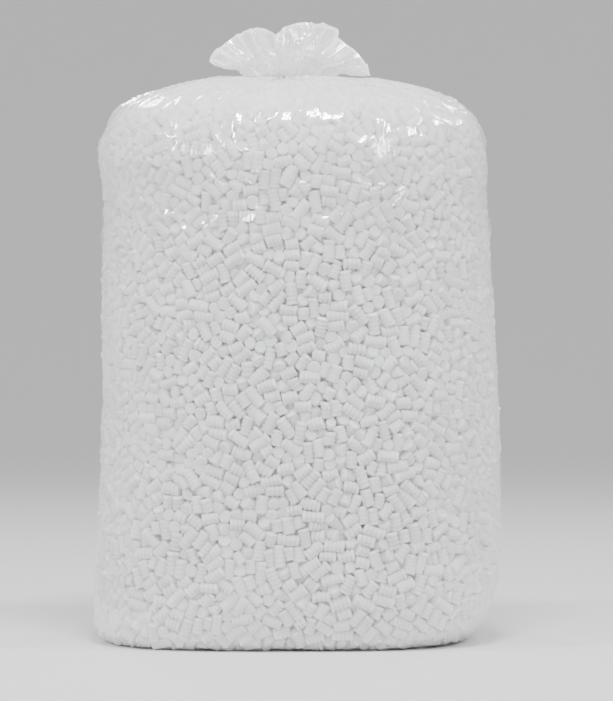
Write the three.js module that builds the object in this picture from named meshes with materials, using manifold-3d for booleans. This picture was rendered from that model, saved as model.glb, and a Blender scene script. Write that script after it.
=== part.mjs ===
// A standing bag of loose-fill packing peanuts: a clear film bag, gathered at the neck and held
// there by a twist tie, with the mouth of the bag spread above the tie as a ruffled tuft.
//
// Three pieces: bag_film (one blown film tube, welded across its base), twist_tie (a wire in a
// plastic ribbon) and peanut_fill (all the peanuts, as the one mass that they settle into).
//
// Millimetres, +Z up, +X across the bag's width, +Y to its back. The origin is the centre of the
// flat base that the bag stands on.

import * as THREE from "three";
import { mergeVertices } from "three/addons/utils/BufferGeometryUtils.js";
import Module from "manifold-3d";

// ---------------------------------------------------------------- driving dimensions

const FILM = 1.0; // wall of the film, which is far thinner on the real bag
const GAP = 0.4; // clearance between pieces that touch
const PLEATS = 16; // gathers that run down from the neck over the crown
const PLEAT_HEIGHT = 6;
const SIDES = 4 * PLEATS; // points round the bag, so that each pleat has a ridge and a valley

// The standing bag from its base up to its neck, one row for each height:
// height, centre in X, half width, half depth and how square the section is (2 is an ellipse).
const STATIONS = [
  [0, -22, 258, 226, 3.2],
  [4, -20, 269, 236, 3.2],
  [16, -15.5, 284, 248, 3.1],
  [42, -9, 294, 258, 3],
  [90, -1, 300.5, 265, 2.8],
  [137, 2.5, 300.5, 268, 2.7],
  [249, 5, 297.5, 266, 2.5],
  [338, 6, 295, 263, 2.4],
  [428, 3, 293.5, 259, 2.35],
  [517, 0, 290.5, 255, 2.3],
  [606, -1.5, 286, 252, 2.3],
  [674, -4, 285.5, 250, 2.3],
  [718, -7.5, 289, 250, 2.25],
  [763, -6, 275.5, 238, 2.2],
  [788, -6, 256, 221, 2.15],
  [808, -7, 214, 185, 2.1],
  [823, -5, 154, 134, 2.05],
  [829.5, -9, 94, 83, 2],
  [833, -14, 52, 47, 2],
];
const SHOULDER = 720; // height above which the film is gathered into pleats
const LONG_STEP = 60; // stations nearer than this get one more between them

const NECK = { x: -18, bottom: 836, top: 844, radius: 12, bore: 4 };

// The mouth of the bag, round the neck's axis: direction in degrees from +X, reach from the axis
// and height above the neck. The back stands up in two lobes, the left end droops, and the right
// end lies down on the crown.
const MOUTH = [
  [0, 126, -2],
  [28, 112, 32],
  [50, 106, 64],
  [75, 80, 74],
  [95, 55, 58],
  [115, 76, 67],
  [145, 95, 48],
  [180, 114, 14],
  [215, 90, 22],
  [250, 70, 40],
  [285, 66, 46],
  [320, 96, 24],
  [345, 116, 3],
];
const RUFFLES = 16; // small folds round the mouth
const RUFFLE_DEPTH = 4;
const TUFT_RINGS = 6;

const TIE = { width: 4.5, thick: 1.1, twists: 3, twistLength: 20, tailLength: 9, splay: 0.6 };

// ---------------------------------------------------------------- lofting

// A closed surface through rings of points, with its first and last rings capped flat.
function loft(rings) {
  const sides = rings[0].length;
  const points = rings.flat();
  const faces = [];
  for (let r = 0; r + 1 < rings.length; r++) {
    for (let i = 0; i < sides; i++) {
      const j = (i + 1) % sides;
      const [a, b, c, d] = [r * sides + i, r * sides + j, (r + 1) * sides + j, (r + 1) * sides + i];
      faces.push(a, b, c, a, c, d);
    }
  }
  const capped = (start, flip) => {
    const centre = points.push(meanOf(points.slice(start, start + sides))) - 1;
    for (let i = 0; i < sides; i++) {
      const [a, b] = [start + i, start + ((i + 1) % sides)];
      faces.push(centre, ...(flip ? [b, a] : [a, b]));
    }
  };
  capped(0, true);
  capped((rings.length - 1) * sides, false);
  return new THREE.BufferGeometry().setFromPoints(points).setIndex(faces);
}

function meanOf(points) {
  const sum = points.reduce((total, p) => total.add(p), new THREE.Vector3());
  return sum.divideScalar(points.length);
}

function signedPower(value, exponent) {
  return Math.sign(value) * Math.abs(value) ** exponent;
}

// ---------------------------------------------------------------- the bag's form

// The stations, with one more in each short step, so that the corners and the crown are round.
function smoothStations() {
  const along = (pick) => new THREE.CatmullRomCurve3(STATIONS.map(pick), false, "centripetal");
  const outline = along(([z, x, width]) => new THREE.Vector3(z, x, width));
  const section = along(([z, , , depth, square]) => new THREE.Vector3(z, depth, square * 100));
  const last = STATIONS.length - 1;
  const steps = [];
  for (let k = 0; k < last; k++) {
    steps.push(k);
    if (STATIONS[k + 1][0] - STATIONS[k][0] < LONG_STEP) steps.push(k + 0.5);
  }
  return [...steps, last].map((k) => {
    const [a, b] = [outline.getPoint(k / last), section.getPoint(k / last)];
    return { z: Math.max(0, a.x), x: a.y, width: a.z, depth: b.y, square: b.z / 100 };
  });
}

// One ring of the bag, set in from the outside by inset on every side. Pleats stand outwards and
// upwards, so that what lies under the film never meets them.
function bagRing(station, inset, pleated) {
  const rise = inset * (1 - (2 * station.z) / NECK.bottom);
  const gathered = THREE.MathUtils.smoothstep(station.z, SHOULDER, NECK.bottom);
  const height = pleated ? PLEAT_HEIGHT * Math.sqrt(gathered) * Math.min(1, station.width / 90) : 0;
  return Array.from({ length: SIDES }, (_, i) => {
    const angle = (2 * Math.PI * i) / SIDES;
    const power = 2 / station.square;
    const pleat = height * Math.abs(Math.cos((PLEATS * angle) / 2));
    const grow = 1 - (inset - 0.4 * pleat) / station.width;
    return new THREE.Vector3(
      station.x + station.width * grow * signedPower(Math.cos(angle), power),
      station.depth * grow * signedPower(Math.sin(angle), power),
      station.z + rise + 0.5 * pleat,
    );
  });
}

function neckRing(z, radius) {
  return Array.from({ length: SIDES }, (_, i) => {
    const angle = (2 * Math.PI * i) / SIDES;
    return new THREE.Vector3(
      NECK.x + radius * Math.cos(angle),
      radius * Math.sin(angle),
      z,
    );
  });
}

// The tuft's rings from the neck out to the mouth, each set in towards the neck's axis by inset.
function tuftRings(inset) {
  const mouth = new THREE.CatmullRomCurve3(
    MOUTH.map(([direction, reach, height]) => {
      const angle = THREE.MathUtils.degToRad(direction);
      return new THREE.Vector3(reach * Math.cos(angle), reach * Math.sin(angle), height);
    }),
    true,
  );
  return Array.from({ length: TUFT_RINGS }, (_, k) => {
    const out = (k + 1) / TUFT_RINGS;
    return Array.from({ length: SIDES }, (_, i) => {
      const edge = mouth.getPoint(i / SIDES);
      const angle = Math.atan2(edge.y, edge.x);
      const ruffle = RUFFLE_DEPTH * out * Math.cos((2 * Math.PI * RUFFLES * i) / SIDES);
      const reach = Math.hypot(edge.x, edge.y) + ruffle;
      const wall = inset * (2 - out);
      const radius = THREE.MathUtils.lerp(NECK.radius, reach, out ** 1.25) - wall;
      return new THREE.Vector3(
        NECK.x + radius * Math.cos(angle),
        radius * Math.sin(angle),
        NECK.top + edge.z * out ** 0.9 + 0.6 * inset + 0.4 * ruffle,
      );
    });
  });
}

// ---------------------------------------------------------------- pieces

// The film is one closed skin: up the outside to the mouth, over its edge, and down the inside.
function bagFilm() {
  const stations = smoothStations();
  const outside = [
    ...stations.map((s) => bagRing(s, 0, true)),
    neckRing(NECK.bottom, NECK.radius),
    neckRing(NECK.top, NECK.radius),
    ...tuftRings(0),
  ];
  const inside = [
    ...stations.map((s) => bagRing(s, FILM, true)),
    neckRing(NECK.bottom - FILM, NECK.bore),
    neckRing(NECK.top, NECK.bore),
    ...tuftRings(FILM),
  ];
  return loft([...outside, ...inside.reverse()]);
}

// The peanuts fill the bag up to the pleats, where the film leaves them for the neck.
function peanutFill() {
  const filled = smoothStations().filter((s) => s.z < STATIONS.at(-2)[0]);
  return loft(filled.map((s) => bagRing(s, FILM + GAP, false)));
}

// A wire tie in a flat ribbon: one turn round the neck, its two ends twisted together at the back
// and splayed.
async function twistTie() {
  const wasm = await Module();
  wasm.setup();
  const solid = (geometry) => {
    const bare = new THREE.BufferGeometry()
      .setAttribute("position", geometry.getAttribute("position"))
      .setIndex(geometry.index);
    const merged = mergeVertices(bare, 1e-3);
    const mesh = new wasm.Mesh({
      numProp: 3,
      vertProperties: merged.attributes.position.array,
      triVerts: new Uint32Array(merged.index.array),
    });
    return new wasm.Manifold(mesh);
  };

  const inner = NECK.radius + GAP;
  const outer = inner + TIE.thick;
  const half = TIE.width / 2;
  const ribbon = [
    [inner, -half],
    [outer - 0.3, -half],
    [outer, -half + 0.3],
    [outer, half - 0.3],
    [outer - 0.3, half],
    [inner, half],
    [inner, -half],
  ].map(([r, z]) => new THREE.Vector2(r, z));
  const loop = new THREE.LatheGeometry(ribbon, 48).rotateX(Math.PI / 2);

  // The twisted pair runs out along +Y from the loop, as one ribbon two thicknesses deep.
  const start = outer - TIE.thick / 2;
  const pair = lengthwise(TIE.twistLength, 24, (out, turn) =>
    ribbonSection(TIE.width, 2 * TIE.thick).map(([x, z]) => {
      const angle = turn * TIE.twists * Math.PI;
      return new THREE.Vector3(
        x * Math.cos(angle) - z * Math.sin(angle),
        start + out,
        x * Math.sin(angle) + z * Math.cos(angle),
      );
    }),
  );

  // Each free end turns away from the other to its own side.
  const tail = (side) =>
    lengthwise(TIE.tailLength, 4, (out, turn) =>
      ribbonSection(TIE.thick, TIE.width).map(
        ([x, z]) =>
          new THREE.Vector3(
            side * (TIE.thick * 0.45 + TIE.splay * out * turn) + x,
            start + TIE.twistLength - 0.5 + out,
            z,
          ),
      ),
    );

  const joined = [pair, tail(-1), tail(1)].reduce(
    (whole, piece) => whole.add(solid(piece)),
    solid(loop),
  );
  const { vertProperties, triVerts } = joined.getMesh();
  const geometry = new THREE.BufferGeometry()
    .setAttribute("position", new THREE.BufferAttribute(vertProperties, 3))
    .setIndex(new THREE.BufferAttribute(triVerts, 1));
  return geometry.rotateX(0.12);
}

function ribbonSection(width, thick) {
  const [w, t] = [width / 2, thick / 2];
  return [
    [-w, -t],
    [w, -t],
    [w, t],
    [-w, t],
  ];
}

// A loft along +Y, whose section at each step comes from its distance out and its share of the way.
function lengthwise(length, steps, section) {
  const rings = Array.from({ length: steps + 1 }, (_, k) => section((length * k) / steps, k / steps));
  return loft(rings.map((ring) => ring.reverse()));
}

// ---------------------------------------------------------------- the assembly

function piece(name, geometry, colour, roughness, opacity = 1) {
  const material = new THREE.MeshStandardMaterial({
    color: colour,
    roughness,
    metalness: 0,
    opacity,
    transparent: opacity < 1,
  });
  const mesh = new THREE.Mesh(geometry, material);
  mesh.name = name;
  return mesh;
}

const bag = new THREE.Group();
bag.add(piece("bag_film", bagFilm(), 0xeef0f2, 0.12, 0.25));
bag.add(piece("peanut_fill", peanutFill(), 0xe6e3dc, 0.85));

const tie = piece("twist_tie", await twistTie(), 0xf2f2ee, 0.45);
tie.position.set(NECK.x, 0, (NECK.bottom + NECK.top) / 2);
bag.add(tie);

export default bag;
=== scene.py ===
"""A clear film bag packed full of ribbed loose-fill peanuts, its neck gathered and tied shut.

The peanuts are pressed out against the film and made one by one. The film is then drawn tight over
them, gathered into pleats over the crown, bunched in the tie and let out again as a ruffled tuft.
Lengths are in metres.
"""

import math

import bpy
import numpy as np
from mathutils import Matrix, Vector
from mathutils.bvhtree import BVHTree


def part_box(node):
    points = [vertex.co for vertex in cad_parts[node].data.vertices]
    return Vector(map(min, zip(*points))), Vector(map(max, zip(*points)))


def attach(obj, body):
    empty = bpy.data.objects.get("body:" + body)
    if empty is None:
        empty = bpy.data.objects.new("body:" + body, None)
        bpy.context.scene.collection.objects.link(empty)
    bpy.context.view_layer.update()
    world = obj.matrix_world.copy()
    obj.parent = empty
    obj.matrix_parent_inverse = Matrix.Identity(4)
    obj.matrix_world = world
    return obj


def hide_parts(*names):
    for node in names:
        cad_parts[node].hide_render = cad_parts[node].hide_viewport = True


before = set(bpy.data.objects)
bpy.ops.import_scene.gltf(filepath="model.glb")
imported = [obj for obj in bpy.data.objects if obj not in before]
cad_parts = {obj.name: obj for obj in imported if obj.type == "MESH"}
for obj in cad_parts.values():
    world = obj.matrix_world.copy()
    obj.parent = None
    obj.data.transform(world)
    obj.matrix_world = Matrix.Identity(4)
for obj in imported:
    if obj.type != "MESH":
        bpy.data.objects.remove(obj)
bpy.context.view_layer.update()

MM = 0.001

# The peanuts: extruded foam rods with ribs round them, cut to length.
PEANUT_RADIUS = 9 * MM
PEANUT_LENGTH = (15.5 * MM, 29 * MM)
SQUASH = 1.13  # how much bigger a peanut is than the room it has, as its neighbours press into it
RIB_PITCH = 5.3 * MM
PEANUT_COUNT = 10600
RIBS = (3, 6)  # the fewest and the most ribs on a peanut
GROOVE_SHARE = 0.82  # the radius in a groove, as a share of the radius of a rib
END_SHARE = 0.84  # the same at the rounded ends
PLAIN_END_SHARE = 0.86  # the same at the ends of a peanut that has no ribs
FLOOR_GAP = 0.9 * MM  # how high the lowest peanuts lie, pressed flat on the film under them
HEAP_DEPTH = 56 * MM  # how far in from the film the peanuts are made
LAYER = 15.5 * MM  # depth of one layer of them
END_INSET = 0.62  # how far in from its end a rod is still full width, as a share of its radius
PART_STRENGTH = 0.32  # the share of an overlap by which each of two rods gives way in one round
HOLD_STRENGTH = 0.5  # the same where the film holds the end of a rod
PAIR_ROUNDS = 4  # for how many rounds a list of neighbouring rods is kept
SETTLING = [(70, 1.6 * MM), (40, 0.6 * MM), (20, 0.1 * MM)]  # rounds, and the drift outwards in each
OUTER_SIDES = 8  # sides of a peanut in the outer layer, in the one behind it and in those deeper in
BEHIND_SIDES = 6
DEEP_SIDES = 5

# The film's net: threads round the bag, and rows from the middle of its base up to its mouth.
AROUND = 384
BODY_ROWS = 222
TUFT_ROWS = 30
LOWER_SHARE = 0.42  # how many of the body's rows lie below the crown, where they are further apart
CROWN = 379.5 * MM  # how far down from the neck, along the film, its rows lie closer

NODE = {name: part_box(name) for name in ("bag_film", "peanut_fill", "twist_tie")}
FILL_TOP = NODE["peanut_fill"][1].z
TIE_LOW, TIE_HIGH = NODE["twist_tie"]
NECK_X = (TIE_LOW.x + TIE_HIGH.x) / 2
NECK_Z = FILL_TOP + 14 * MM
NECK_RADIUS = (TIE_HIGH.x - TIE_LOW.x) / 2 - 2.4 * MM
NECK_HALF = 4 * MM  # half the height of the gathered neck
NECK_PLEATS = 44
SHOULDER_PLEATS = 21  # broader pleats, between the neck and the shoulder
TUFT_FOLDS = 20
TUFT_SAG = 14 * MM  # how far the tuft sinks over the tie before it stands up
STREAK_STRETCH = 0.5  # for each metre along the film, against 1 for each radian round it

# The edge of the tuft: direction in degrees from +X, reach from the neck's axis and height above the
# neck in millimetres. The back stands up in two lobes, and the right end lies down on the crown.
MOUTH = [
    (0, 128, 4),
    (10, 118, 21),
    (15, 111, 33),
    (22, 100, 40),
    (30, 92, 50),
    (36, 100, 64),
    (47, 98, 73),
    (73, 92, 75),
    (90, 75, 69),
    (103, 70, 56),
    (116, 102, 68),
    (128, 100, 64),
    (150, 90, 51),
    (168, 106, 32),
    (180, 114, 15),
    (195, 108, 7),
    (210, 98, 5),
    (225, 90, 12),
    (245, 84, 27),
    (270, 78, 33),
    (305, 88, 27),
    (335, 114, 5),
    (350, 130, -9),
]

# The film's creases: how many leave the neck, lie over the shoulder and hang slack under it.
NECK_CREASES = 44
SHOULDER_CREASES = 90
SLACK_CREASES = 70

# The slack folds that stand out most in front, under the shoulder: direction in degrees, distance
# from the neck along the film, fall from end to end, sweep in degrees and sag in the middle, in mm.
SWAGS = [
    (232, 415, -20, 17, 12),
    (258, 385, 10, 13, 9),
    (266, 372, 14, 15, 12),
    (276, 398, -16, 14, 10),
    (281, 420, 18, 22, 16),
    (292, 392, -22, 18, 14),
]
SWAG_HEIGHT = 10 * MM
SWAG_WIDTH = 13 * MM

# The stage: a flat round floor, the radius of the bend that leads up from it, and its sides.
STAGE_FLOOR = 5
STAGE_BEND = 6
STAGE_SIDES = 96


# ---------------------------------------------------------------- small tools


def unit(vectors):
    return vectors / np.maximum(np.linalg.norm(vectors, axis=-1, keepdims=True), 1e-9)


def smooth(low, high, value):
    """0 below low, 1 above high, and an easy curve between them."""
    share = np.clip((value - low) / (high - low), 0, 1)
    return share * share * (3 - 2 * share)


def dot(a, b):
    return np.einsum("ij,ij->i", a, b)


def tree_of(obj):
    """What a ray or a nearest point is looked up in, for a mesh that isn't moved or turned."""
    mesh = obj.data
    points = np.empty(len(mesh.vertices) * 3)
    mesh.vertices.foreach_get("co", points)
    faces = [tuple(face.vertices) for face in mesh.polygons]
    return BVHTree.FromPolygons(points.reshape(-1, 3).tolist(), faces)


def make_mesh(name, points, faces, uvs=None):
    """A smooth mesh object. faces is a list of arrays, one for each count of corners, and uvs has a
    place for each corner, in the same order."""
    mesh = bpy.data.meshes.new(name)
    corners = np.concatenate([f.reshape(-1) for f in faces])
    sizes = np.concatenate([np.full(len(f), f.shape[1]) for f in faces])
    mesh.vertices.add(len(points))
    mesh.vertices.foreach_set("co", np.asarray(points, np.float32).reshape(-1))
    mesh.loops.add(len(corners))
    mesh.loops.foreach_set("vertex_index", corners.astype(np.int32))
    mesh.polygons.add(len(sizes))
    starts = np.concatenate([[0], np.cumsum(sizes)[:-1]])
    mesh.polygons.foreach_set("loop_start", starts.astype(np.int32))
    mesh.update(calc_edges=True)
    mesh.polygons.foreach_set("use_smooth", np.ones(len(sizes), bool))
    if uvs is not None:
        layer = mesh.uv_layers.new(name="OFBake")
        layer.data.foreach_set("uv", np.asarray(uvs, np.float32).reshape(-1))
    obj = bpy.data.objects.new(name, mesh)
    bpy.context.scene.collection.objects.link(obj)
    return obj


def set_value(obj, name, values):
    """A number on each point of the mesh, for its material to read."""
    attribute = obj.data.attributes.new(name, "FLOAT", "POINT")
    attribute.data.foreach_set("value", np.asarray(values, np.float32).reshape(-1))


# ---------------------------------------------------------------- packing the peanuts


class Hollow:
    """The space under the film: how deep a point lies in it, and which way leads inwards."""

    def __init__(self, node, spacing):
        low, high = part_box(node)
        self.low = np.array(low) - 2 * spacing
        self.spacing = spacing
        self.shape = np.ceil((np.array(high) - self.low) / spacing).astype(int) + 3
        steps = np.stack(np.meshgrid(*[np.arange(n) for n in self.shape], indexing="ij"), axis=-1)
        tree = tree_of(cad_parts[node])
        depths = []
        for point in (self.low + steps.reshape(-1, 3) * spacing).tolist():
            spot, normal, _, gap = tree.find_nearest(point)
            depths.append(gap if (spot - Vector(point)).dot(normal) > 0 else -gap)
        depth = np.array(depths).reshape(self.shape)
        self.field = np.stack([depth, *np.gradient(depth, spacing)], axis=-1)

    def read(self, points):
        """How deep each point lies, less than 0 being outside, and its way inwards."""
        at = (points - self.low) / self.spacing
        base = np.clip(np.floor(at).astype(int), 0, self.shape - 2)
        share = np.clip(at - base, 0, 1)
        total = np.zeros((len(points), 4))
        for corner in np.ndindex(2, 2, 2):
            weight = np.prod(np.where(corner, share, 1 - share), axis=1)
            x, y, z = (base + corner).T
            total += weight[:, None] * self.field[x, y, z]
        return total[:, 0], unit(total[:, 1:])


def near_pairs(points, reach):
    """Each pair of points in neighbouring cells of a grid whose step is reach, given once."""
    cells = np.floor((points - points.min(0)) / reach).astype(np.int64) + 1
    stride = np.array([(cells[:, 1].max() + 2) * (cells[:, 2].max() + 2), cells[:, 2].max() + 2, 1])
    keys = cells @ stride
    order = np.argsort(keys, kind="stable")
    sorted_keys = keys[order]
    firsts, seconds = [], []
    for step in np.ndindex(3, 3, 3):
        shift = (np.array(step) - 1) @ stride
        if shift < 0:
            continue
        start = np.searchsorted(sorted_keys, keys + shift, "left")
        counts = np.searchsorted(sorted_keys, keys + shift, "right") - start
        first = np.repeat(np.arange(len(keys)), counts)
        place = np.arange(counts.sum()) - np.repeat(np.cumsum(counts) - counts, counts)
        second = order[np.repeat(start, counts) + place]
        keep = first < second if shift == 0 else slice(None)
        firsts.append(first[keep])
        seconds.append(second[keep])
    return np.concatenate(firsts), np.concatenate(seconds)


class Heap:
    """Loose peanuts as round-ended rods, which push each other apart and are held by the film."""

    def __init__(self, hollow, count, rng):
        self.hollow = hollow
        self.radii = PEANUT_RADIUS * rng.uniform(0.94, 1.04, count)
        self.lengths = rng.uniform(*PEANUT_LENGTH, count)
        self.halves = self.lengths / 2 - END_INSET * self.radii
        self.places = self.scatter(count, rng)
        self.axes = unit(rng.normal(size=(count, 3)))
        self.spin = self.halves**2 / 3 + self.radii**2 / 4

    def scatter(self, count, rng):
        low, high = (np.array(corner) for corner in NODE["peanut_fill"])
        found = np.empty((0, 3))
        while len(found) < count:
            tries = rng.uniform(low, high, (4 * count, 3))
            depth, _ = self.hollow.read(tries)
            kept = tries[(depth > PEANUT_RADIUS) & (depth < 1.35 * HEAP_DEPTH)]
            found = np.concatenate([found, kept])
        return found[:count]

    def push(self, index, along, move, strength):
        """Moves and turns each rod by what a push at a distance along its axis would do."""
        gain = strength / (1 + along**2 / self.spin[index])
        turn = move - dot(move, self.axes[index])[:, None] * self.axes[index]
        for k in range(3):
            self.shift[:, k] += np.bincount(index, gain * move[:, k], len(self.places))
            leverage = gain * along / self.spin[index]
            self.turn[:, k] += np.bincount(index, leverage * turn[:, k], len(self.places))

    def part(self, first, second):
        """Rods that run into each other are pushed apart at the point where they are nearest."""
        u, v = self.axes[first], self.axes[second]
        hu, hv = self.halves[first], self.halves[second]
        apart = self.places[first] - self.places[second]
        b, d, e = dot(u, v), dot(u, apart), dot(v, apart)
        s = np.clip((b * e - d) / np.maximum(1 - b * b, 1e-6), -hu, hu)
        t = np.clip(b * s + e, -hv, hv)
        s = np.clip(b * t - d, -hu, hu)
        line = apart + s[:, None] * u - t[:, None] * v
        gap = np.linalg.norm(line, axis=1)
        overlap = self.radii[first] + self.radii[second] - gap
        hit = overlap > 0
        move = line[hit] / np.maximum(gap[hit], 1e-6)[:, None] * overlap[hit, None]
        self.push(first[hit], s[hit], move, PART_STRENGTH)
        self.push(second[hit], t[hit], -move, PART_STRENGTH)

    def hold(self, drift):
        """The film holds both ends of each rod in, and the heap's pressure drives them out to it."""
        everyone = np.arange(len(self.places))
        for end in (-1, 1):
            along = end * self.halves
            depth, inward = self.hollow.read(self.places + along[:, None] * self.axes)
            move = np.maximum(self.radii - depth, -drift)
            self.push(everyone, along, move[:, None] * inward, HOLD_STRENGTH)

    def settle(self, rounds, drift):
        for number in range(rounds):
            if number % PAIR_ROUNDS == 0:
                reach = 2 * (self.halves.max() + self.radii.max())
                first, second = near_pairs(self.places, reach)
                gap = np.linalg.norm(self.places[first] - self.places[second], axis=1)
                bound = self.halves + self.radii + 3 * MM
                close = gap < bound[first] + bound[second]
                first, second = first[close], second[close]
            self.shift = np.zeros_like(self.places)
            self.turn = np.zeros_like(self.places)
            self.part(first, second)
            self.hold(drift)
            self.places += self.shift
            self.axes = unit(self.axes + self.turn)


def pack_peanuts(rng):
    """Scatters the peanuts in a thick wall under the film and presses them out until they lie tight."""
    heap = Heap(Hollow("peanut_fill", 12 * MM), PEANUT_COUNT, rng)
    for rounds, drift in SETTLING:
        heap.settle(rounds, drift)
    return heap


# ---------------------------------------------------------------- shaping the peanuts


def rib_profile(ribs):
    """Places along a peanut from -1 to 1, the share of its radius there and how much painted shade it
    gets, most in a groove and a little at the rounded ends: a crest for each rib, a groove between each
    two, and rounded ends. With no ribs it is plain."""
    if ribs == 0:
        return np.array([-1, 0, 1]), np.array([PLAIN_END_SHARE, 1, PLAIN_END_SHARE]), np.zeros(3)
    crest = (np.arange(ribs) + 0.5) / ribs * 2 - 1
    groove = crest[:-1] + 1 / ribs
    along = np.concatenate([[-1], crest, groove, [1]])
    share = np.concatenate([[END_SHARE], np.ones(ribs), np.full(ribs - 1, GROOVE_SHARE), [END_SHARE]])
    painted_shade = np.concatenate([[0.35], np.zeros(ribs), np.ones(ribs - 1), [0.35]])
    order = np.argsort(along)
    return along[order], share[order], painted_shade[order]


def rod_faces(count, rings, sides):
    """The faces of many rods: quads between their rings, and a flat cap on each end."""
    ring, side = np.meshgrid(np.arange(rings - 1), np.arange(sides), indexing="ij")
    a = (ring * sides + side).reshape(-1)
    b = (ring * sides + (side + 1) % sides).reshape(-1)
    quads = np.stack([a, b, b + sides, a + sides], axis=1)
    caps = np.stack([np.arange(sides)[::-1], (rings - 1) * sides + np.arange(sides)])
    start = (np.arange(count) * rings * sides)[:, None, None]
    return (quads + start).reshape(-1, 4), (caps + start).reshape(-1, sides)


def shape_peanuts(heap, chosen, profile, sides, rng):
    """The points of the chosen peanuts, each a little bent, squashed and uneven in its own way, with
    its ends cut a little askew."""
    along, share, _ = profile
    count = len(chosen)
    axis = heap.axes[chosen]
    side = unit(np.cross(axis, unit(rng.normal(size=(count, 3)))))
    up = np.cross(axis, side)
    angle = np.arange(sides) / sides * 2 * math.pi
    carved = share ** rng.uniform(0.6, 1.4, (count, 1))
    radius = SQUASH * heap.radii[chosen, None, None] * carved[:, :, None]
    radius = radius * (1 + rng.uniform(-0.045, 0.045, (count, len(along), 1)))
    radius = radius * (1 + rng.uniform(-0.03, 0.03, (count, len(along), sides)))
    squash = rng.uniform(0.84, 1.08, (count, 1, 1))
    bend = rng.normal(0, 0.9 * MM, (count, 1)) * (along**2 - 0.5)
    slant = rng.normal(0, 0.8 * MM, (count, 1, 1)) * np.cos(angle) * np.abs(along[:, None]) ** 3
    length = SQUASH * heap.lengths[chosen, None, None] / 2 * along[None, :, None] + slant
    across = radius * np.cos(angle) * squash + bend[:, :, None]
    upward = radius * np.sin(angle)
    points = (
        heap.places[chosen][:, None, None]
        + length[..., None] * axis[:, None, None]
        + across[..., None] * side[:, None, None]
        + upward[..., None] * up[:, None, None]
    )
    return points.reshape(-1, 3)


def peanut_patches(rings, sides, cell, columns):
    """A patch of the map for each peanut, in its own cell of a square of columns by columns cells:
    its side as a rectangle and its two ends above it."""
    ring, side = np.meshgrid(np.arange(rings - 1), np.arange(sides), indexing="ij")
    u = side.reshape(-1, 1) + np.array([0, 1, 1, 0])
    v = ring.reshape(-1, 1) + np.array([0, 0, 1, 1])
    quads = np.stack([0.04 + 0.92 * u / sides, 0.04 + 0.6 * v / (rings - 1)], axis=-1)
    angle = np.arange(sides) / sides * 2 * math.pi
    disc = np.stack([0.14 * np.cos(angle), 0.14 * np.sin(angle)], axis=-1)
    caps = np.stack([disc + (0.25, 0.82), disc + (0.75, 0.82)])
    corner = np.stack([cell % columns, cell // columns], axis=-1)[:, None, None]
    return [((patch + corner) / columns).reshape(-1, 2) for patch in (quads, caps)]


def build_peanuts(name, heap, chosen, sides, ribbed, rng):
    """One mesh of the chosen peanuts, which it takes in groups with the same number of ribs."""
    ribs = np.clip(np.round(heap.lengths[chosen] / RIB_PITCH), *RIBS).astype(int) * ribbed
    columns = math.ceil(math.sqrt(len(chosen)))
    points, quads, caps, quad_places, cap_places, tints, groove_shade_values = [], [], [], [], [], [], []
    start, cell = 0, 0
    for number in np.unique(ribs):
        group = chosen[ribs == number]
        profile = rib_profile(number)
        rings = len(profile[0])
        points.append(shape_peanuts(heap, group, profile, sides, rng))
        quad, cap = rod_faces(len(group), rings, sides)
        quads.append(quad + start)
        caps.append(cap + start)
        cells = cell + np.arange(len(group))
        quad_place, cap_place = peanut_patches(rings, sides, cells, columns)
        quad_places.append(quad_place)
        cap_places.append(cap_place)
        tints.append(np.repeat(rng.uniform(size=len(group)), rings * sides))
        # Painted shade in the grooves and at the ends, stronger on some peanuts than on others.
        shaded = profile[2] * rng.uniform(0.45, 1, (len(group), 1))
        groove_shade_values.append(np.repeat(shaded.reshape(-1), sides))
        start += len(points[-1])
        cell += len(group)
    points = np.concatenate(points)
    points[:, 2] = np.maximum(points[:, 2], FLOOR_GAP)
    faces = [np.concatenate(quads), np.concatenate(caps)]
    obj = make_mesh(name, points, faces, np.concatenate(quad_places + cap_places))
    is_side = np.arange(len(obj.data.polygons)) < len(faces[0])
    obj.data.polygons.foreach_set("use_smooth", is_side)
    set_value(obj, "tint", np.concatenate(tints))
    # The painted groove shade, for the foam's colour to read.
    set_value(obj, "groove", np.concatenate(groove_shade_values))
    # How deep each point lies under the film, for a painted warm shade on the peanuts down in the gaps.
    depth, _ = heap.hollow.read(points)
    set_value(obj, "deep", smooth(5 * MM, 22 * MM, depth))
    return obj


def make_heap(heap, rng):
    """The outer peanuts with their ribs, in bands from the base up, and plainer ones behind them."""
    depth, _ = heap.hollow.read(heap.places)
    height = heap.places[:, 2]
    outer = depth < LAYER
    behind = (depth >= LAYER) & (depth < 2 * LAYER)
    deep = (depth >= 2 * LAYER) & (depth < HEAP_DEPTH)
    edges = [0, *np.quantile(height[outer], [0.25, 0.5, 0.75]), math.inf]
    pieces = []
    for name, low, high in zip(("base", "lower", "upper", "crown"), edges, edges[1:]):
        band = np.flatnonzero(outer & (height >= low) & (height < high))
        pieces.append(build_peanuts(f"peanuts_{name}", heap, band, OUTER_SIDES, True, rng))
    middle = np.median(height[behind])
    for name, half in (("low", height < middle), ("high", height >= middle)):
        chosen = np.flatnonzero(behind & half)
        pieces.append(build_peanuts(f"peanuts_behind_{name}", heap, chosen, BEHIND_SIDES, False, rng))
    pieces.append(build_peanuts("peanuts_deep", heap, np.flatnonzero(deep), DEEP_SIDES, False, rng))
    return pieces


# ---------------------------------------------------------------- the film


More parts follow.
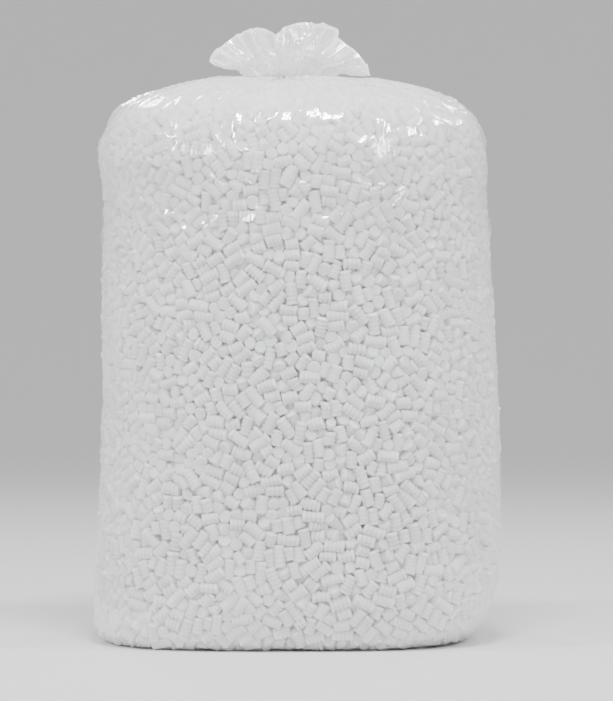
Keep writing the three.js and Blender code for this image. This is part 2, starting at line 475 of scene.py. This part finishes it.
def body_net():
    """The film's points where it lies on the heap, row by row from the middle of the base to the
    neck, each thread going round from +X, and how far each row is from the neck along the film.
    Rows lie closer over the crown."""
    tree = tree_of(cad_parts["peanut_fill"])
    centre = np.array((NECK_X, 0, FILL_TOP / 2))

    def cast(tilt, turn):
        side, down = math.sin(tilt), -math.cos(tilt)
        return tree.ray_cast(centre, (side * math.cos(turn), side * math.sin(turn), down))[0]

    tilts = np.linspace(0.001, math.pi - 0.001, 600)
    lengths = np.zeros(len(tilts))
    for turn in np.arange(8) * math.pi / 4:
        line = np.array([cast(tilt, turn) for tilt in tilts])
        steps = np.linalg.norm(np.diff(line, axis=0), axis=1)
        lengths[1:] += np.cumsum(steps) / 8
    end = lengths[-1] - NECK_RADIUS
    split = int(LOWER_SHARE * BODY_ROWS)
    lower = np.linspace(3 * MM, end - CROWN, split)
    wanted = np.concatenate([lower, np.linspace(lower[-1], end, BODY_ROWS - split + 1)[1:]])
    rows = np.interp(wanted, lengths, tilts)
    turns = np.arange(AROUND) / AROUND * 2 * math.pi
    net = np.array([[cast(tilt, turn) for turn in turns] for tilt in rows])
    distance = np.linalg.norm(net - centre, axis=2)
    ways = (net - centre) / distance[..., None]
    for _ in range(14):  # rounds off the flats of the CAD solid
        beside = np.roll(distance, 1, axis=1) + np.roll(distance, -1, axis=1)
        above_below = distance[:-2] + distance[2:]
        distance[1:-1] = 0.5 * distance[1:-1] + (beside[1:-1] + above_below) / 8
    return centre + ways * distance[..., None], end - wanted


def net_normals(net):
    """The way out of the bag at each point of the net."""
    around = np.roll(net, -1, axis=1) - np.roll(net, 1, axis=1)
    return unit(np.cross(around, np.gradient(net, axis=0)))


def heap_heights(net, normals, pieces, reach):
    """How far the peanuts stand out from each point of the net, inwards being less than 0."""
    points, faces, start = [], [], 0
    for obj in pieces:
        flat = np.empty(len(obj.data.vertices) * 3)
        obj.data.vertices.foreach_get("co", flat)
        points += flat.reshape(-1, 3).tolist()
        faces += [tuple(v + start for v in face.vertices) for face in obj.data.polygons]
        start = len(points)
    tree = BVHTree.FromPolygons(points, faces)
    starts = (net + reach * normals).reshape(-1, 3).tolist()
    ways = (-normals).reshape(-1, 3).tolist()
    heights = np.full(len(starts), -reach)
    for k, (point, way) in enumerate(zip(starts, ways)):
        distance = tree.ray_cast(point, way, 2 * reach)[3]
        if distance is not None:
            heights[k] = reach - distance
    heights = heights.reshape(net.shape[:2])
    spread = heights.copy()
    for step in ((0, 1), (0, -1), (1, 0), (-1, 0)):
        spread = np.maximum(spread, np.roll(heights, step, axis=(0, 1)) - 0.6 * MM)
    return spread + 0.5 * MM


def crease_heights(turns, down, girth, rng):
    """The crests of the film's creases: long ones that run down from the neck over the shoulder, and
    short slack ones that hang across under the shoulder. girth is the bag's radius at each row."""
    crests = np.zeros((len(down), len(turns)))

    def add(turn, start, end, height, width, sway, hang):
        """One crest, from (turn, start) to (turn + sway, end), with a sag of hang in its middle."""
        share = np.linspace(0, 1, 40)
        line_down = start + (end - start) * share + hang * np.sin(math.pi * share)
        line_height = height * np.sin(math.pi * np.clip(share, 0.02, 0.98)) ** 0.6
        rows = np.flatnonzero((down > line_down.min() - width) & (down < line_down.max() + width))
        middle = (turns - turn - sway / 2 + math.pi) % (2 * math.pi) - math.pi
        cols = np.flatnonzero(np.abs(middle) < abs(sway) / 2 + width / girth[rows].min())
        off_turn = middle[None, cols, None] + sway / 2 - sway * share
        off = np.hypot(off_turn * girth[rows, None, None], down[rows, None, None] - line_down)
        crest = (line_height * np.maximum(1 - off / width, 0) ** 1.3).max(axis=2)
        window = np.ix_(rows, cols)
        crests[window] = np.maximum(crests[window], crest)

    for k in range(NECK_CREASES):
        turn = (k + rng.uniform(-0.4, 0.4)) / NECK_CREASES * 2 * math.pi
        start, end = rng.uniform(25, 80) * MM, rng.uniform(130, 270) * MM
        add(turn, start, end, rng.uniform(3, 6) * MM, 9 * MM, rng.normal(0, 0.08), 0)
    for _ in range(SHOULDER_CREASES):
        start = rng.uniform(120, 250) * MM
        size = rng.uniform(25, 90) * MM
        turn, sway = rng.uniform(0, 2 * math.pi), rng.normal(0, 0.09)
        add(turn, start, start + size, rng.uniform(3, 6) * MM, 8 * MM, sway, 0)
    for _ in range(SLACK_CREASES):
        start = rng.uniform(260, 430) * MM
        sway = rng.uniform(0.08, 0.3) * rng.choice((-1, 1))
        fall, hang = rng.normal(0, 24) * MM, rng.uniform(4, 20) * MM
        turn = rng.uniform(0, 2 * math.pi)
        add(turn, start, start + fall, rng.uniform(4, 7.5) * MM, 9 * MM, sway, hang)
    for turn, start, fall, sway, hang in SWAGS:
        end = (start + fall) * MM
        turn, sway = math.radians(turn), math.radians(sway)
        add(turn, start * MM, end, SWAG_HEIGHT, SWAG_WIDTH, sway, hang * MM)
    return crests


def draw_tight(net, floor, sag, rounds):
    """A stretched film over what stands under it: each point lies at the mean of its neighbours, and
    never under its own floor."""
    around = np.linalg.norm(np.roll(net, -1, axis=1) - net, axis=2)
    upward = np.linalg.norm(np.gradient(net, axis=0), axis=2)
    wide, tall = 1 / np.maximum(around, 0.5 * MM) ** 2, 1 / upward**2
    heights = np.maximum(floor, -3 * MM)
    for _ in range(rounds):
        above = np.concatenate([heights[1:], heights[-1:]])
        below = np.concatenate([heights[:1], heights[:-1]])
        beside = np.roll(heights, 1, axis=1) + np.roll(heights, -1, axis=1)
        mean = (wide * beside + tall * (above + below)) / (2 * wide + 2 * tall)
        heights = np.maximum(floor, mean - sag)
    return heights


def loosen(heights, share):
    """Lifts the film where it is loose, so that it spans several peanuts without dipping between
    them. share goes from 0 for a tight row to 1 for a loose one."""

    def beside(values):
        above = np.concatenate([values[1:], values[-1:]])
        below = np.concatenate([values[:1], values[:-1]])
        return np.roll(values, 1, axis=1), np.roll(values, -1, axis=1), above, below

    loose = heights
    for _ in range(3):
        loose = np.maximum.reduce([loose, *beside(loose)])
    for _ in range(12):
        loose = (loose + sum(beside(loose))) / 5
    return heights + share[:, None] * (loose - heights)


def ridges(turns, count, rng):
    """Sharp-crested folds round the neck, from 0 in a valley to 1 on a crest, unevenly spaced."""
    warp = sum(rng.normal(0, 0.5 / k) * np.sin(k * turns + rng.uniform(0, 6)) for k in range(2, 9))
    return 1 - np.abs(np.sin((count * turns + warp * count / 12) / 2)) ** 0.8


def crumple(turns, out, waves):
    """Ridges that cross at all angles, as in film that has been squeezed in a hand."""
    total = np.zeros(len(turns))
    for around, outward, phase in waves:
        total += 1 - 2 * np.abs(np.sin(around * turns + outward * out + phase))
    return total / len(waves) ** 0.5


def tuft_rows(turns, rng):
    """The film above the tie, let out from the neck to the mouth: it sinks over the tie all round and
    then stands up. Its folds go back and forth, so that it lies on itself several times over."""
    edge_turn, edge_reach, edge_height = np.array(MOUTH).T * [[math.pi / 180], [MM], [MM]]
    warp = 0.16 * np.sin(2 * turns + 1) + 0.1 * np.sin(5 * turns + 4) + 0.05 * np.sin(11 * turns)
    phase = TUFT_FOLDS * (turns + warp)
    waves = [(rng.integers(3, 24), rng.uniform(-18, 18), rng.uniform(0, 6)) for _ in range(12)]
    rows = []
    for out in np.arange(1, TUFT_ROWS + 1) / TUFT_ROWS:
        swing = 0.075 * np.sin(phase) * out**0.5 * (1.25 - 0.5 * out)
        turn = (turns + swing) % (2 * math.pi)
        reach = np.interp(turn, edge_turn, edge_reach, period=2 * math.pi)
        height = np.interp(turn, edge_turn, edge_height, period=2 * math.pi)
        fold = np.cos(phase + 0.6 * np.sin(3 * turns) + 1.4 * np.sin(2 * turns + 3 * out)) * out**0.5
        dents = crumple(turns, out, waves) * min(1, 3 * out)
        lip = smooth(0.8, 1, out) * np.sin(0.5 * phase + 2)
        sag = TUFT_SAG * math.sin(math.pi * min(out / 0.55, 1))
        calm = 1.25 - out  # the folds open out towards the edge
        radius = NECK_RADIUS + (reach - NECK_RADIUS) * out**0.75
        radius = radius - 3.5 * MM * fold * calm + 2.2 * MM * dents * min(1, 2.5 * calm)
        rise = height * out**1.4 - sag + 1 * MM * lip
        rise = rise + 2.5 * MM * fold * out * calm + 2 * MM * dents * min(1, 2.5 * calm)
        place = [NECK_X + radius * np.cos(turn), radius * np.sin(turn), NECK_Z + NECK_HALF + rise]
        rows.append(np.stack(place, axis=1))
    return np.array(rows)


def gather_crown(body, normals, turns, rng):
    """Lifts the film off the heap towards the neck and bunches it in folds there."""
    away = np.hypot(body[..., 0] - NECK_X, body[..., 1])
    near = 1 - smooth(15 * MM, 90 * MM, away)
    fine = ridges(turns, NECK_PLEATS, rng) * smooth(0, 14 * MM, away)
    fine = fine * (1 - smooth(40 * MM, 120 * MM, away))
    broad = ridges(turns, SHOULDER_PLEATS, rng) * smooth(24 * MM, 70 * MM, away)
    broad = broad * (1 - smooth(90 * MM, 180 * MM, away))
    lift = 4 * MM * near + 4 * MM * fine + 3 * MM * broad
    return body + lift[..., None] * normals


def sharpness(points):
    """How sharply the film is folded at each point: 0 on a flat, 1 on a crease."""
    beside = np.roll(points, 1, axis=1), np.roll(points, -1, axis=1)
    along = np.concatenate([points[:1], points[:-1]]), np.concatenate([points[1:], points[-1:]])
    bends = []
    for before, after in (beside, along):
        off = np.linalg.norm(points - (before + after) / 2, axis=2)
        bends.append(off / np.maximum(np.linalg.norm(after - before, axis=2), 1 * MM))
    bends[1][[0, -1]] = 0
    return smooth(0.05, 0.3, np.maximum(*bends))


def neck_rows(turns, rng):
    """The rows that the tie holds, pleated all round."""
    pinch = NECK_RADIUS * (0.25 + 0.75 * ridges(turns, NECK_PLEATS, rng))
    heights = (NECK_Z - NECK_HALF, NECK_Z, NECK_Z + NECK_HALF)
    rows = [[NECK_X + pinch * np.cos(turns), pinch * np.sin(turns), z + 0 * turns] for z in heights]
    return np.array(rows).transpose(0, 2, 1)


def film_faces(rows, turns):
    """The film's quads, the cap in the middle of its base, and the places of their corners on the
    map: the rows lie above each other, and the cap is a small disc below them."""
    row, col = np.meshgrid(np.arange(rows - 1), np.arange(AROUND), indexing="ij")
    beside = (col + 1) % AROUND
    quads = np.stack([row * AROUND + col, row * AROUND + beside], axis=-1)
    quads = np.concatenate([quads, quads[..., ::-1] + AROUND], axis=-1).reshape(-1, 4)
    corners = np.array([(0, 0), (1, 0), (1, 1), (0, 1)])
    patch = np.stack([col, row], axis=-1)[:, :, None] + corners
    places = patch.reshape(-1, 2) / (AROUND, rows - 1) * (1, 0.97) + (0, 0.03)
    disc = 0.015 + 0.012 * np.stack([np.cos(turns), np.sin(turns)], axis=-1)
    cap = np.arange(AROUND)[None, ::-1]
    return [quads, cap], np.concatenate([places, disc])


def mark_film(film, points, down, turns):
    """Tells the film's material how much it is gathered, where it is creased, for a painted highlight
    along the creases and round the mouth's edge, and a place in a space that is stretched along its
    folds. down is each row's distance from the neck."""
    gather = np.where(down > 0, 0.85 * (1 - smooth(120 * MM, 500 * MM, down)), 1)
    set_value(film, "gather", np.repeat(gather, AROUND))
    # Where the film is creased, for a painted highlight along the creases that fades out under the
    # shoulder.
    crease = sharpness(points) * (1 - smooth(330 * MM, 480 * MM, down))[:, None]
    # The mouth's edge gets the full painted highlight, as a bright rim.
    crease[-2:] = 1  # the mouth's edge
    set_value(film, "crease", crease)
    steps = np.linalg.norm(np.diff(points[:, 0], axis=0), axis=1)
    path = np.concatenate([[0], np.cumsum(steps)])[:, None]
    streak = np.stack(np.broadcast_arrays(np.cos(turns), np.sin(turns), STREAK_STRETCH * path), axis=-1)
    attribute = film.data.attributes.new("streak", "FLOAT_VECTOR", "POINT")
    attribute.data.foreach_set("vector", streak.astype(np.float32).reshape(-1))


def make_film(pieces, rng):
    """The whole film in one sheet, from the middle of the base to the mouth."""
    net, down = body_net()
    normals = net_normals(net)
    turns = np.arange(AROUND) / AROUND * 2 * math.pi
    girth = np.linalg.norm(net[..., :2] - (NECK_X, 0), axis=2).mean(axis=1)
    creases = crease_heights(turns, down, girth, rng)
    floor = np.maximum(heap_heights(net, normals, pieces, 25 * MM), 0.6 * creases)
    tight = draw_tight(net, floor, sag=0.04 * MM, rounds=200)
    tight = loosen(tight, 1 - smooth(310 * MM, 450 * MM, down))
    body = net + (tight + 0.8 * creases)[..., None] * normals
    body = gather_crown(body, normals, turns, rng)
    body[..., 2] = np.maximum(body[..., 2], 0.2 * MM)
    points = np.concatenate([body, neck_rows(turns, rng), tuft_rows(turns, rng)])
    down = np.concatenate([down, np.zeros(len(points) - len(down))])
    faces, places = film_faces(len(points), turns)
    film = make_mesh("film_bag", points.reshape(-1, 3), faces, places)
    mark_film(film, points, down, turns)
    return film


# ---------------------------------------------------------------- materials


class Shading:
    """A material's nodes, added and linked by name."""

    def __init__(self, name, colour, roughness):
        self.material = bpy.data.materials.new(name)
        self.material.use_nodes = True
        self.tree = self.material.node_tree
        self.shader = self.tree.nodes["Principled BSDF"]
        self.shader.inputs["Base Color"].default_value = (*colour, 1)
        self.shader.inputs["Roughness"].default_value = roughness

    def add(self, kind, **settings):
        node = self.tree.nodes.new("ShaderNode" + kind)
        for key, value in settings.items():
            setattr(node, key, value)
        return node

    def link(self, source, target):
        self.tree.links.new(source, target)

    def attribute(self, name, output="Fac"):
        return self.add("Attribute", attribute_name=name).outputs[output]

    def math(self, operation, a, b=0.0, clamp=False):
        node = self.add("Math", operation=operation, use_clamp=clamp)
        for socket, value in zip(node.inputs, (a, b)):
            if isinstance(value, (int, float)):
                socket.default_value = value
            else:
                self.link(value, socket)
        return node.outputs[0]

    def between(self, share, low, high):
        """A number that goes from low to high as share goes from 0 to 1."""
        node = self.add("MapRange")
        node.inputs["To Min"].default_value = low
        node.inputs["To Max"].default_value = high
        self.link(share, node.inputs["Value"])
        return node.outputs["Result"]

    def blend(self, share, low, high):
        """A colour that goes from low to high as share goes from 0 to 1."""
        node = self.add("Mix", data_type="RGBA")
        self.link(share, node.inputs[0])
        for name, value in (("A", low), ("B", high)):
            if isinstance(value, tuple):
                node.inputs[name].default_value = (*value, 1)
            else:
                self.link(value, node.inputs[name])
        return node.outputs["Result"]

    def mottle(self, scale, vector=None):
        node = self.add("Group", node_tree=bpy.data.node_groups["mottle"])
        node.inputs["Scale"].default_value = scale
        if vector is None:
            vector = self.add("TexCoord").outputs["Object"]
        self.link(vector, node.inputs["Place"])
        return node.outputs["Value"]

    def bump(self, height, distance, strength=1.0):
        node = self.add("Bump")
        node.inputs["Distance"].default_value = distance
        node.inputs["Strength"].default_value = strength
        self.link(height, node.inputs["Height"])
        self.link(node.outputs["Normal"], self.shader.inputs["Normal"])


def make_mottle():
    """Uneven patches from 0 to 1, which the foam, the film and the tie all use."""
    group = bpy.data.node_groups.new("mottle", "ShaderNodeTree")
    group.interface.new_socket("Place", in_out="INPUT", socket_type="NodeSocketVector")
    group.interface.new_socket("Scale", in_out="INPUT", socket_type="NodeSocketFloat")
    group.interface.new_socket("Value", in_out="OUTPUT", socket_type="NodeSocketFloat")
    inside, outside = group.nodes.new("NodeGroupInput"), group.nodes.new("NodeGroupOutput")
    noise = group.nodes.new("ShaderNodeTexNoise")
    noise.inputs["Detail"].default_value = 3
    spread = group.nodes.new("ShaderNodeMapRange")
    spread.inputs["From Min"].default_value = 0.3
    spread.inputs["From Max"].default_value = 0.7
    group.links.new(inside.outputs["Place"], noise.inputs["Vector"])
    group.links.new(inside.outputs["Scale"], noise.inputs["Scale"])
    group.links.new(noise.outputs["Fac"], spread.inputs["Value"])
    group.links.new(spread.outputs["Result"], outside.inputs["Value"])


def foam_material():
    """Off-white extruded foam: each peanut a little lighter or darker, with painted shade along each
    groove between its ribs and a fine cell texture. Light goes some way into it and comes out warmer,
    and the peanuts deeper in the heap have a painted warm shade, standing in for the light in the gaps."""
    foam = Shading("peanut_foam", (0.93, 0.93, 0.94), 0.7)
    dark, light = (0.905, 0.9, 0.9), (0.965, 0.965, 0.975)
    groove_shade_colour, painted_gap_warmth = (0.78, 0.735, 0.695), (0.96, 0.81, 0.7)
    shade = foam.math("MULTIPLY", foam.mottle(180), 0.4)
    shade = foam.math("ADD", foam.math("MULTIPLY", foam.attribute("tint"), 0.6), shade)
    colour = foam.blend(shade, dark, light)
    # Painted shade in the grooves between the ribs.
    colour = foam.blend(foam.math("POWER", foam.attribute("groove"), 2.0), colour, groove_shade_colour)
    # A painted warm shade on the peanuts deeper in the heap, which show only in the gaps.
    colour = foam.blend(foam.attribute("deep"), colour, painted_gap_warmth)
    foam.link(colour, foam.shader.inputs["Base Color"])
    foam.shader.inputs["Subsurface Weight"].default_value = 0.6
    foam.shader.inputs["Subsurface Radius"].default_value = (1, 0.72, 0.55)
    foam.shader.inputs["Subsurface Scale"].default_value = 9 * MM
    foam.bump(foam.mottle(700), 0.5 * MM, 0.5)
    return foam.material


def film_material():
    """Clear film: nearly all of it is seen through, and it is milky where folds lie on each other. It
    shines at a slant, where it also has a painted white sheen, and it has painted highlights along its
    creases and round its mouth's edge."""
    film = Shading("bag_film", (0.99, 0.99, 1), 0.07)
    gather = film.attribute("gather")
    streak = film.attribute("streak", "Vector")
    folds = film.mottle(9, streak)
    # Painted sheen: the film turns whiter at a slant, on top of its own gloss there.
    slant = film.add("LayerWeight")
    slant.inputs["Blend"].default_value = 0.25
    edge = film.math("MULTIPLY", slant.outputs["Facing"], 0.35)
    # Painted highlight: the film turns whiter along its creases and round the mouth's edge.
    crease = film.math("MULTIPLY", film.attribute("crease"), 0.3)
    wrinkles = film.mottle(26, streak)
    haze = film.math("MULTIPLY", film.between(gather, 0.18, 0.5), film.between(folds, 0.65, 1.35))
    haze = film.math("MULTIPLY", haze, film.between(wrinkles, 0.75, 1.25))
    haze = film.math("ADD", haze, crease)
    film.link(film.math("ADD", haze, edge, clamp=True), film.shader.inputs["Alpha"])
    film.link(film.between(gather, 0.55, 0.2), film.shader.inputs["Metallic"])
    height = film.math("ADD", wrinkles, film.mottle(75))
    height = film.math("MULTIPLY", height, film.between(gather, 0.1, 0.7))
    film.bump(height, 1.6 * MM, 0.6)
    return film.material


def tie_material():
    """A white plastic ribbon, slightly scuffed."""
    tie = Shading("tie_ribbon", (0.86, 0.86, 0.84), 0.4)
    scuff = tie.mottle(350)
    tie.link(tie.between(scuff, 0.3, 0.5), tie.shader.inputs["Roughness"])
    tie.bump(scuff, 0.2 * MM, 0.4)
    return tie.material


# ---------------------------------------------------------------- the stage


def make_stage():
    """A pale floor that curves up into a wall all round, so that no edge of it shows."""
    bend = np.linspace(0, math.pi / 2, 24)
    across = np.concatenate([[0.01, 1, 2, 3, 4], STAGE_FLOOR + STAGE_BEND * np.sin(bend)])
    height = np.concatenate([np.zeros(5), STAGE_BEND * (1 - np.cos(bend))])
    turns = np.arange(STAGE_SIDES) / STAGE_SIDES * 2 * math.pi
    x, y = across[:, None] * np.cos(turns), across[:, None] * np.sin(turns)
    points = np.stack(np.broadcast_arrays(x, y, height[:, None]), axis=-1)
    row, col = np.meshgrid(np.arange(len(across) - 1), np.arange(STAGE_SIDES), indexing="ij")
    inner, outer = row * STAGE_SIDES, (row + 1) * STAGE_SIDES
    beside = (col + 1) % STAGE_SIDES
    quads = np.stack([inner + col, outer + col, outer + beside, inner + beside], axis=-1).reshape(-1, 4)
    middle = np.arange(STAGE_SIDES)[None, :]
    stage = make_mesh("stage", points.reshape(-1, 3), [quads, middle])
    stage.data.materials.append(Shading("stage_paper", (0.72, 0.72, 0.72), 0.9).material)
    world = bpy.data.worlds.new("studio")
    bpy.context.scene.world = world
    world.use_nodes = True
    world.node_tree.nodes["Background"].inputs["Color"].default_value = (1, 1, 1, 1)
    world.node_tree.nodes["Background"].inputs["Strength"].default_value = 0.85


def soft_light(name, place, target, size, power):
    """A rectangle of light. power is in watts."""
    lamp = bpy.data.lights.new(name, "AREA")
    lamp.shape = "RECTANGLE"
    lamp.size, lamp.size_y = size
    lamp.energy = power
    obj = bpy.data.objects.new(name, lamp)
    obj.location = place
    obj.rotation_euler = (Vector(target) - Vector(place)).to_track_quat("-Z", "Y").to_euler()
    bpy.context.scene.collection.objects.link(obj)


def make_lights():
    soft_light("overhead", (0.1, -1.1, 2.5), (0, 0, 0.5), (0.6, 0.3), 58)
    soft_light("left_front", (-2.0, -3.0, 2.0), (0, 0, 0.5), (0.25, 0.7), 20)
    soft_light("right_front", (2.4, -2.6, 2.1), (0, 0, 0.5), (0.25, 0.7), 17)
    soft_light("back_left", (-1.0, 2.4, 2.2), (0, 0, 0.8), (0.4, 0.3), 22)
    soft_light("back_right", (1.3, 2.2, 2.1), (0, 0, 0.8), (0.4, 0.3), 18)
    soft_light("left", (-2.4, -1.2, 2.2), (0, 0, 0.5), (0.3, 0.6), 58)
    soft_light("right", (2.4, -1.0, 2.3), (0, 0, 0.5), (0.3, 0.6), 44)


def make_camera():
    """A long lens a little above the middle of the bag, looking along +Y."""
    distance, lift = 7, math.radians(2)
    field = 1.0445  # how much the longer side of the view takes in at that distance
    target = Vector((0.014, 0, 0.427))
    away = Vector((0, -math.cos(lift), math.sin(lift)))
    camera = bpy.data.cameras.new("camera")
    camera.sensor_width = 36
    camera.lens = camera.sensor_width * distance / field
    obj = bpy.data.objects.new("camera", camera)
    obj.location = target + distance * away
    obj.rotation_euler = (-away).to_track_quat("-Z", "Y").to_euler()
    bpy.context.scene.collection.objects.link(obj)
    bpy.context.scene.camera = obj


# ---------------------------------------------------------------- putting it together


def coat(piece, material):
    piece.data.materials.clear()
    piece.data.materials.append(material)


def finish_piece(piece, material):
    """What a piece that isn't in the CAD model needs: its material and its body."""
    coat(piece, material)
    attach(piece, "root")


def build():
    rng = np.random.default_rng(7)
    heap = pack_peanuts(rng)
    peanuts = make_heap(heap, rng)
    film = make_film(peanuts[:4], rng)
    make_mottle()
    foam = foam_material()
    for piece in peanuts:
        finish_piece(piece, foam)
    finish_piece(film, film_material())
    coat(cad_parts["twist_tie"], tie_material())
    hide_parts("peanut_fill")
    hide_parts("bag_film")


make_camera()
make_stage()
make_lights()
build()
bpy.context.scene.cycles.transparent_max_bounces = 32
bpy.context.scene.cycles.diffuse_bounces = 8
